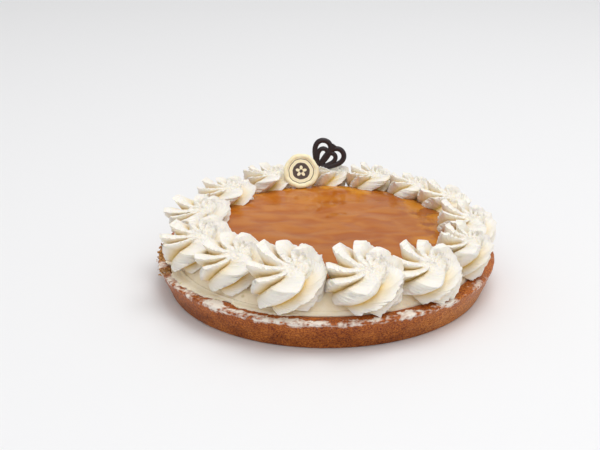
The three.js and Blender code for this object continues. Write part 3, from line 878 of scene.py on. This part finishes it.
def swirl(u, v, rosette, draw):
    """Places of a swirl's points standing on the origin, how far out on a fin they lie, and its crests."""
    fins = rosette["fins"]
    spin = math.radians(rosette["spin"])
    column = np.rint(u * fins * FIN_COLUMNS).astype(int)
    row = np.rint(v * ROWS).astype(int)
    fin = column // FIN_COLUMNS % fins
    step = column % FIN_COLUMNS
    tip = math.tau * (fin + RIDGE_COLUMN / FIN_COLUMNS) / fins + spin
    above = np.clip((row - HEM_ROW) / (ROWS - HEM_ROW), 0, 1)
    below = np.clip(row / HEM_ROW, 0, 1)
    hollow, petal, edge, crest = across_fin(step, tip)
    fin_out, fin_up, groove_out, groove_up, turned = up_fin(above, hollow, petal)
    longer = 1 + FIN_LENGTHS * draw.uniform(-1, 1, fins)[fin]
    low = LOW_SHARE * np.cos(tip - LOW_BEARING).clip(0, 1) ** 2
    taller = 1 + (FIN_HEIGHTS * draw.uniform(-1, 1, fins)[fin] - low) * (1 - smooth(above, *TALL_FADE))
    swung = FIN_SWING * draw.uniform(-1, 1, fins)[fin]
    jag = torn_edge(fin, row, edge, fins, draw)
    upward = smooth(above, *RAG_UPWARD)
    blunt = edge + BLUNTNESS * (1 - hollow) * edge * (1 - edge)
    out = groove_out + (fin_out * longer - groove_out) * blunt + jag * (1 - upward)
    up = groove_up + (fin_up * taller - groove_up) * edge + jag * upward * (1 - smooth(above, *RAG_FADE))
    out = rosette["reach"] * out * below
    up = rosette["height"] * (up * below - FOOT_DEPTH * (1 - below))
    start = math.tau * (fin + step / FIN_COLUMNS) / fins + spin + (FIN_LEAN + swung) * edge ** 2
    angle = curled(start + FIN_CROWDING * np.sin(start - OPEN_BEARING), turned)
    inward = smooth(above, *WHORL_RISE)
    x = out * np.cos(angle) + WHORL_SHIFT[0] * inward
    y = out * np.sin(angle) + WHORL_SHIFT[1] * inward
    outward = np.maximum(0, np.cos(angle - math.radians(rosette["bearing"])))
    sagging = DROOP * outward * (1 - smooth(above, *DROOP_FADE))
    return x, y, up - sagging, edge, crest


print("swirl:", FIN_COLUMNS * ROWS, "faces in a fin")

# %% [markdown]
# The rosettes were piped one after another round the ring, each a little different. Each stands on the
# mound's shoulder and tilts outwards and towards the baker.

# %% Ring of rosettes
RING_CENTRE = (0.005, 0.0)
RING_RADIUS = 0.108
OUTWARD_LEAN = math.radians(8)
BAKER_LEAN = math.radians(12)
BAKER_BEARING = math.radians(-55)
# Bearing, reach, height and distance off the ring, then the turn of the first fin and the number of fins.
ROSETTES = [dict(zip(("bearing", "reach", "height", "out", "spin", "fins"), row)) for row in (
    (120.8, 0.0224, 0.0228, 0.0077, 10, 8),
    (91.6, 0.0170, 0.0205, 0.0036, 0, 8),
    (71.6, 0.0208, 0.0190, -0.001, 24, 8),
    (50.5, 0.0210, 0.0185, 0.000, 6, 6),
    (30.5, 0.0230, 0.0205, 0.004, 31, 6),
    (-0.5, 0.0250, 0.0215, 0.000, 15, 8),
    (-27.0, 0.0228, 0.0270, 0.0035, 12, 8),
    (-52.0, 0.0270, 0.0210, 0.0033, 14, 8),
    (-78.6, 0.0304, 0.0232, 0.0000, 11, 8),
    (-107.2, 0.0296, 0.0248, 0.0045, 11, 8),
    (-133.8, 0.0268, 0.0217, 0.0021, 18, 8),
    (-158.8, 0.0277, 0.0228, 0.0071, 12, 8),
    (173.0, 0.0271, 0.0195, 0.005, 4, 8),
    (146.0, 0.0254, 0.0200, 0.005, 18, 8),
)]


def toward(bearing):
    """The level direction of a bearing in radians."""
    return Vector((math.cos(bearing), math.sin(bearing), 0))


def seat_of(rosette):
    """Where a rosette stands on the mound and how it leans."""
    bearing = math.radians(rosette["bearing"])
    ring = RING_RADIUS + rosette["out"]
    x = RING_CENTRE[0] + ring * math.cos(bearing)
    y = RING_CENTRE[1] + ring * math.sin(bearing)
    seat = float(apricot_top(np.hypot(x, y), np.arctan2(y, x)))
    lean = OUTWARD_LEAN * toward(bearing) + BAKER_LEAN * toward(BAKER_BEARING)
    tilt = Matrix.Rotation(lean.length, 4, Vector((0, 0, 1)).cross(lean))
    return Matrix.Translation((x, y, seat)) @ tilt


print("ring:", len(ROSETTES), "rosettes")

# %% [markdown]
# Where two rosettes crowd each other, soft cream gives way, so their fins are pressed back to an upright
# plane between them. In the same way they stop a little outside the rim, and nothing hangs lower than what
# it lies on.

# %% How soft cream gives way
SQUEEZE = 0.002
OVERLAP = 0.004
SINK = 0.0006
OVERHANG = 0.3
OVERHANG_FROM = 0.028


def squeezed(away):
    """A distance that soft cream keeps from what it is pressed against: never less than nothing."""
    return np.where(away > SQUEEZE, away, SQUEEZE * np.exp(np.minimum(away, SQUEEZE) / SQUEEZE - 1))


def press_back(x, y, rosette, other, side):
    """Presses points back to the plane between two rosettes, and tells how far from it they are."""
    apart = (other["bearing"] - rosette["bearing"] + 180) % 360 - 180
    share = rosette["reach"] / (rosette["reach"] + other["reach"])
    parting = math.radians(rosette["bearing"] + apart * share)
    normal = side * np.array((math.sin(parting), -math.cos(parting)))
    away = normal[0] * (x - RING_CENTRE[0]) + normal[1] * (y - RING_CENTRE[1]) + OVERLAP
    push = squeezed(away) - away
    return x + normal[0] * push, y + normal[1] * push, squeezed(away)


def stop_at_rim(x, y, z):
    """Keeps a rosette's points from hanging far outside the crust's rim."""
    limit = RIM_RADIUS + OVERHANG * np.maximum(0, z - OVERHANG_FROM)
    radius = np.hypot(x, y)
    share = (limit - squeezed(limit - radius)) / radius
    return x * share, y * share


def resting_height(x, y):
    """Height of whatever carries the cream: apricot, custard or the crust's rim."""
    radius = np.hypot(x, y)
    filling = apricot_top(np.minimum(radius, MOUND_RADIUS), np.arctan2(y, x))
    on_rim = np.where(radius < RIM_RADIUS, CRUST_HEIGHT, 0)
    return np.where(radius < MOUND_RADIUS, filling, on_rim)


# %% [markdown]
# The middle of each rosette is torn and curdled, where the nozzle pulled away. Noise made of small peaks
# raises the curds there, and a little of it moves them sideways, so that they don't look combed.

# %% Torn middles
TORN_RADIUS = (0.38, 0.56)
TORN_FROM = (0.6, 0.72)
TORN_PATCH = 0.006
CURD_SIZE = 0.0052
CURD_HEIGHT = 0.0022
CURD_LEVEL = 0.4
SCRAP_SIZE = 0.0024
SCRAP_HEIGHT = 0.0004
STRAY_SIZE = 0.003
STRAY = 0.0006
SOFT_LUMP = 0.007


def curds(points, size):
    """Crumbly noise between 0 and about 1 at each point, with crumbs of the given size."""
    return np.array([noise.turbulence(Vector(p) / size, 2, True) for p in points])


def tear_middle(x, y, z, v, reach, seed):
    """Roughens a swirl's middle: the new places, how torn each is, and how far its curds stand up."""
    local = np.stack((x, y, z), axis=1) + seed
    from_whorl = np.hypot(x - WHORL_SHIFT[0], y - WHORL_SHIFT[1]) / reach
    patchy = from_whorl + 0.12 * lumps(local, TORN_PATCH)
    torn = (1 - smooth(patchy, *TORN_RADIUS)) * smooth(v, *TORN_FROM)
    raised = curds(local, CURD_SIZE)
    z = z + torn * (CURD_HEIGHT * (raised - CURD_LEVEL) + SCRAP_HEIGHT * lumps(local, SCRAP_SIZE))
    x = x + torn * STRAY * lumps(local + 7, STRAY_SIZE)
    y = y + torn * STRAY * lumps(local + 13, STRAY_SIZE)
    return x, y, z + SCRAP_HEIGHT * lumps(local, SOFT_LUMP), torn, raised


# %% [markdown]
# All the rosettes come out of one loop. Smooth shading would round off the fins, so the edges along a
# fin's crests, its brow and its hem are kept sharp, which an edge's own smooth switch does.

# %% Rosettes
BROW_ROW = HEM_ROW + (ROWS - HEM_ROW) * BROW / LAST
CROWDED_WITHIN = 0.006


def keep_sharp(bm):
    """Keeps crests, brows and hems crisp where the rest of the cream is shaded smooth."""
    ridge, brow, hem = (bm.verts.layers.float[name] for name in ("ridge", "brow", "hem"))
    for side in bm.edges:
        one, other = side.verts
        on_crest = one[ridge] > 0.5 and one[ridge] == other[ridge]
        side.smooth = not on_crest and one[hem] * other[hem] + one[brow] * other[brow] < 0.5


for index, rosette in enumerate(ROSETTES):
    draw = np.random.default_rng(100 + index)
    bm = bmesh.new()
    bm.loops.layers.uv.new("UVMap")
    columns = rosette["fins"] * FIN_COLUMNS
    bmesh.ops.create_grid(bm, x_segments=columns, y_segments=ROWS, size=0.5, calc_uvs=True)
    u, v = places(bm).T[:2] + 0.5
    row = np.rint(v * ROWS)
    x, y, z, edge, crest = swirl(u, v, rosette, draw)
    x, y, z, torn, raised = tear_middle(x, y, z, v, rosette["reach"], index)
    move_to(bm, x, y, z)
    bmesh.ops.transform(bm, matrix=seat_of(rosette), verts=bm.verts)
    x, y, z = places(bm).T
    x, y = stop_at_rim(x, y, z)
    x, y, gap_before = press_back(x, y, rosette, ROSETTES[index - 1], 1)
    x, y, gap_after = press_back(x, y, rosette, ROSETTES[(index + 1) % len(ROSETTES)], -1)
    move_to(bm, x, y, np.maximum(z, resting_height(x, y) - SINK))
    # Painted shade: the grooves, the low curds of the torn middle and the places where two rosettes crowd
    # each other get the yellow of shade.
    crowded = 1 - smooth(np.minimum(gap_before, gap_after), 0.0, CROWDED_WITHIN)
    on_fin = 0.6 * smooth(edge, 0, 0.3) + 0.4 * smooth(edge, 0.15, 0.85)
    unshaded = np.maximum(on_fin, torn * (0.75 + 0.2 * smooth(raised, 0.1, 0.3)))
    paint(bm, "unshaded", unshaded * (1 - 0.3 * crowded))
    paint(bm, "torn", torn)
    paint(bm, "ridge", crest * (torn < 0.2) * (row >= HEM_ROW))
    paint(bm, "hem", row == HEM_ROW)
    paint(bm, "brow", (row == BROW_ROW) * (edge > 0.5))
    clean(bm)
    keep_sharp(bm)
    name = f"rosette_{index + 1:02d}"
    serve(bm, name + "_swirl", whipped_cream, "whipped_cream", name)

# %% [markdown]
# ## Medallion
# A disc of white chocolate, cast flat and set against the cream. Warm hands pressed it, so its raised lip
# is soft and wavy like a wax seal. Cocoa butter gives it a satin gloss and a little depth. A plain blossom
# is printed on its face in dark cocoa: the "stamp" attribute is the distance inside the print in
# millimetres.

# %% Finish of the medallion
WHITE_BLOOM = 0.006

white_chocolate, tree, shader = new_finish("cast_white_chocolate")
where = add(tree, "TexCoord", {}).outputs["Object"]
bloom = add(tree, "TexNoise", {"Vector": where, "Scale": 1 / WHITE_BLOOM, "Detail": 3.0})
pale = add(tree, "MixRGB", {"Fac": bloom, "Color1": linear("#FFEDBE"), "Color2": linear("#FFF6D8")})
stamp = add(tree, "Attribute", {}, attribute_name="stamp").outputs["Fac"]
inked = add(tree, "MapRange", {"Value": stamp, "From Min": -0.1, "From Max": 0.1})
colour = add(tree, "MixRGB", {"Fac": inked, "Color1": pale, "Color2": linear("#4E3A2E")})
bump = add(tree, "Bump", {"Height": bloom, "Strength": 0.2, "Distance": 0.0006})
join(tree, shader, {"Base Color": colour, "Roughness": 0.38, "Normal": bump, **MILK_FAT})

# %% [markdown]
# The disc is turned from a wire with a raised lip, its face divided finely enough to hold the print.

# %% Outline of the medallion
DISC_RADIUS = 0.0159
DISC_THICKNESS = 0.003
DISC_LIP = 0.0030
DISC_SINK = 0.0008
LIP_ROUND = 0.0005
FACE_SPACING = 0.0003
DISC_STEPS = 192

bm = bmesh.new()
face = DISC_THICKNESS / 2
sunk = face - DISC_SINK
inner = DISC_RADIUS - DISC_LIP
corners = [
    (0, -face),
    (DISC_RADIUS, -face),
    (DISC_RADIUS, face),
    (inner, face),
    (inner - DISC_SINK, sunk),
    (0, sunk),
]
wire(bm, corners)
round_off(bm, [v for v in bm.verts if 0 < v.co.x < inner - MERGE], LIP_ROUND, 3)
flat = [e for e in bm.edges if all(abs(v.co.z - sunk) < MERGE and v.co.x < inner for v in e.verts)]
divide(bm, flat, FACE_SPACING)
turn_round(bm, DISC_STEPS)
print("medallion:", len(bm.verts), "vertices")

# %% [markdown]
# A rule gives the print: a dark round that leaves five petals and their heart, and a thin ring about it.
# Then the lip gets its waves, and the disc is set on the apricot and leaned back.

# %% Medallion
DISC_WAVE = 0.0006
LIP_WAVE = 0.0004
DISC_FOOT = Vector((-0.0223, 0.0865))
DISC_LEAN = math.radians(31)
STAMP_RADIUS = 0.0078
STAMP_RING = 0.0112
RING_HALF_WIDTH = 0.0003
PETALS = 5
PETAL_REACH = 0.0052
PETAL_HEART = 0.0016

x, y, z = places(bm).T
angle = np.arctan2(y, x)
radius = np.hypot(x, y)
petal = PETAL_HEART + (PETAL_REACH - PETAL_HEART) * np.abs(np.cos(PETALS / 2 * (angle - math.pi / 2)))
roundel = np.minimum(STAMP_RADIUS - radius, radius - petal)
ring_line = RING_HALF_WIDTH - np.abs(radius - STAMP_RING)
printed = np.maximum(np.maximum(roundel, ring_line), PETAL_HEART - radius)
paint(bm, "stamp", np.where(z > 0, printed, -1) * 1000)
stretch = 1 + DISC_WAVE / DISC_RADIUS * wander(angle, 2.9)
rise = LIP_WAVE * wander(angle, 5.2) * smooth(radius, inner - DISC_SINK, inner) * smooth(z, 0, face)
move_to(bm, x * stretch, y * stretch, z + rise)
foot_turn = math.atan2(DISC_FOOT.y, DISC_FOOT.x)
foot_seat = float(apricot_top(np.float64(DISC_FOOT.length), np.float64(foot_turn))) - SINK
medallion_place = (
    Matrix.Translation((DISC_FOOT.x, DISC_FOOT.y, foot_seat))
    @ Matrix.Rotation(math.pi / 2 - DISC_LEAN, 4, "X")
    @ Matrix.Translation((0, DISC_RADIUS + DISC_WAVE, 0))
)
bmesh.ops.transform(bm, matrix=medallion_place, verts=bm.verts)
serve(bm, "medallion_disc", white_chocolate, "white_chocolate", "medallion")

# %% [markdown]
# ## Filigree
# Dark chocolate cast in a shallow mould: flat bands that loop out of one stem like a fan. It is nearly
# black, with a satin shine along the rounded bands.

# %% Finish of the filigree
DARK_BLOOM = 0.004

dark_chocolate, tree, shader = new_finish("moulded_dark_chocolate")
where = add(tree, "TexCoord", {}).outputs["Object"]
bloom = add(tree, "TexNoise", {"Vector": where, "Scale": 1 / DARK_BLOOM, "Detail": 4.0})
colour = add(tree, "MixRGB", {"Fac": bloom, "Color1": linear("#21161A"), "Color2": linear("#35252A")})
bump = add(tree, "Bump", {"Height": bloom, "Strength": 0.25, "Distance": 0.0005})
join(tree, shader, {"Base Color": colour, "Roughness": 0.36, "Normal": bump})

# %% [markdown]
# Each band is a curve with a round bevel, the quickest way to draw a rod along a line in Blender. The
# curves are turned to meshes, flattened across the fan as the mould was, and joined at the stem.

# %% Bands of the filigree
LOOP_POINTS = 40
LOOP_FULLNESS = 1.4
LOOP_TAPER = 1.5


def loop_line(heading, length, breadth):
    """Middle line of one band: a teardrop that leaves the stem and comes back to it."""
    t = math.tau * (np.arange(LOOP_POINTS) + 0.5) / LOOP_POINTS
    forth = length * (1 - np.cos(t)) / 2
    aside = LOOP_FULLNESS * breadth * np.sin(t) * np.sin(t / 2) ** LOOP_TAPER
    cos, sin = math.cos(math.radians(heading)), math.sin(math.radians(heading))
    return np.stack((forth * cos - aside * sin, 0 * t, forth * sin + aside * cos), axis=1)


def cast_band(bm, line, half_width):
    """Casts one round band along a line and adds it to the filigree."""
    curve = bpy.data.curves.new("band", "CURVE")
    curve.dimensions = "3D"
    curve.bevel_depth = half_width
    curve.bevel_resolution = 3
    curve.use_fill_caps = True
    spline = curve.splines.new("POLY")
    spline.points.add(len(line) - 1)
    for point, place in zip(spline.points, line):
        point.co = (*place, 1)
    drawn = bpy.data.objects.new("band", curve)
    mesh = bpy.data.meshes.new_from_object(drawn)
    bm.from_mesh(mesh)
    bpy.data.objects.remove(drawn)
    bpy.data.curves.remove(curve)
    bpy.data.meshes.remove(mesh)


# %% Filigree
FAN_BASE = Vector((-0.0075, 0.112, 0.0595))
STEM_LENGTH = 0.0145
STEM_RADIUS = 0.0022
BAND_FLATNESS = 0.6
FILIGREE_LEAN = math.radians(6)
SPINE_HEADING = math.radians(53.5)
SPINE_LENGTH = 0.0268
SPINE_HALF_WIDTH = 0.0025
# Heading in degrees, length, half the breadth of the loop and half the band's own width.
LOOPS = [
    (75, 0.0266, 0.0072, 0.0025),
    (70, 0.0192, 0.0044, 0.0022),
    (33, 0.0276, 0.0072, 0.0025),
    (38, 0.0200, 0.0044, 0.0022),
]

bm = bmesh.new()
for heading, length, breadth, half_width in LOOPS:
    cast_band(bm, loop_line(heading, length, breadth), half_width)
tip = (SPINE_LENGTH * math.cos(SPINE_HEADING), 0, SPINE_LENGTH * math.sin(SPINE_HEADING))
cast_band(bm, [(0, 0, 0), tip], SPINE_HALF_WIDTH)
bmesh.ops.scale(bm, vec=(1, BAND_FLATNESS, 1), verts=bm.verts)
cast_band(bm, [(0, 0, -STEM_LENGTH), (0, 0, STEM_RADIUS)], STEM_RADIUS)
bmesh.ops.recalc_face_normals(bm, faces=bm.faces)
lean = Matrix.Translation(FAN_BASE) @ Matrix.Rotation(-FILIGREE_LEAN, 4, "X")
bmesh.ops.transform(bm, matrix=lean, verts=bm.verts)
serve(bm, "filigree_fan", dark_chocolate, "dark_chocolate", "filigree")
